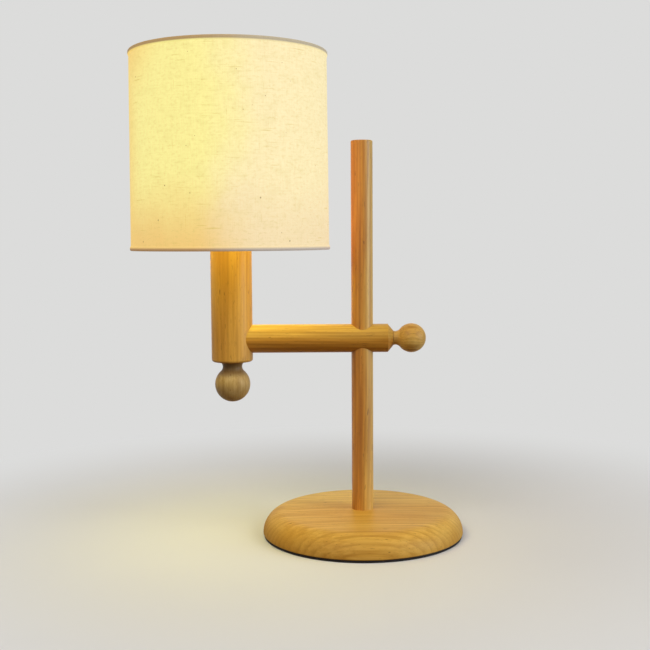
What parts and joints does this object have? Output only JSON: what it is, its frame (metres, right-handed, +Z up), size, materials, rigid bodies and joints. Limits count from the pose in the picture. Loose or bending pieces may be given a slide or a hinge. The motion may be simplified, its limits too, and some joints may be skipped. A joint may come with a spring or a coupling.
{
  "type": "desk lamp",
  "caption": "Wooden desk lamp: round base, upright post, sliding and swinging arm, and a tilting drum-shaded head, locked by ball knobs.",
  "frame": {"origin": "on the table, under the axis of the post", "axes": "+Z up along the post, +X along the arm towards its locking knob with the head at -X, +Y away from the viewer, where the cord leaves the head"},
  "size_m": [0.3351, 0.2052, 0.4884],
  "materials": {
    "wood": "clear satin lacquer",
    "base_pad": "matt",
    "ballast": "as cast, black",
    "zinc_steel": "zinc plated",
    "brass": "plain",
    "bushing": "plain",
    "grommet": "matt",
    "holder": "fine satin",
    "ceramic": "glazed",
    "bulb_cap": "rolled",
    "bulb_housing": "satin white",
    "bulb_board": "white",
    "bulb_globe": "opal, lit",
    "shade_fabric": "slubbed linen weave",
    "shade_liner": "translucent white",
    "shade_wire": "white powder coat"
  },
  "bodies": {
    "base": {"base_pad": "base_pad", "base_dome": "wood", "ballast_disc": "ballast", "ballast_screws": "zinc_steel", "post_bolt": "zinc_steel", "post_insert": "brass", "post": "wood"},
    "liner": {"post_liner": "bushing"},
    "arm": {"arm": "wood", "height_insert": "brass"},
    "height_pad": {"height_pad": "bushing"},
    "height_knob": {"height_stud": "zinc_steel", "height_knob": "wood"},
    "head": {"head_body": "wood", "tilt_insert": "brass", "cord_grommet": "grommet", "holder_plate": "zinc_steel", "plate_screws": "zinc_steel", "nipple": "zinc_steel", "nipple_nut": "zinc_steel", "holder_cap": "holder", "holder_body": "holder", "holder_core": "ceramic", "terminal_screws": "brass", "socket_shell": "brass", "centre_contact": "zinc_steel", "shade_nut": "holder", "bulb_contact": "bulb_cap", "bulb_insulator": "ceramic", "bulb_cap": "bulb_cap", "bulb_housing": "bulb_housing", "bulb_board": "bulb_board", "bulb_globe": "bulb_globe", "shade_fabric": "shade_fabric", "shade_liner": "shade_liner", "shade_top_hem": "shade_fabric", "shade_bottom_hem": "shade_fabric", "shade_top_ring": "shade_wire", "shade_bottom_ring": "shade_wire", "fitter_ring": "shade_wire", "fitter_arms": "shade_wire"},
    "tilt_pad": {"tilt_pad": "bushing"},
    "tilt_knob": {"tilt_stud": "zinc_steel", "tilt_knob": "wood"},
    "switch": {"switch_bar": "holder"}
  },
  "joints": [
    {"name": "height_slide", "type": "slide", "parent": "base", "child": "liner", "axis": [0, 0, 1], "range_m": [-0.095, 0.183]},
    {"name": "arm_swing", "type": "hinge", "parent": "liner", "child": "arm", "pos_m": [0, 0, 0.2025], "axis": [0, 0, 1], "continuous": true},
    {"name": "height_pad_slide", "type": "slide", "parent": "arm", "child": "height_pad", "axis": [1, 0, 0], "range_m": [0, 0.00125]},
    {"name": "height_knob_turn", "type": "hinge", "parent": "height_pad", "child": "height_knob", "pos_m": [0, 0, 0.2025], "axis": [1, 0, 0], "range_deg": [0, 360]},
    {"name": "head_tilt", "type": "hinge", "parent": "arm", "child": "head", "pos_m": [-0.1325, 0, 0.2025], "axis": [1, 0, 0], "range_deg": [-90, 90]},
    {"name": "tilt_pad_slide", "type": "slide", "parent": "head", "child": "tilt_pad", "axis": [0, 0, -1], "range_m": [0, 0.00125]},
    {"name": "tilt_knob_turn", "type": "hinge", "parent": "tilt_pad", "child": "tilt_knob", "pos_m": [-0.1325, 0, 0.2025], "axis": [0, 0, -1], "range_deg": [0, 360]},
    {"name": "switch_push", "type": "slide", "parent": "head", "child": "switch", "axis": [0, 1, 0], "range_m": [-0.004, 0]}
  ],
  "couplings": [
    {"joint": "height_knob_turn", "follows": "height_pad_slide", "rad_per_m": 5026.5},
    {"joint": "tilt_knob_turn", "follows": "tilt_pad_slide", "rad_per_m": 5026.5}
  ]
}
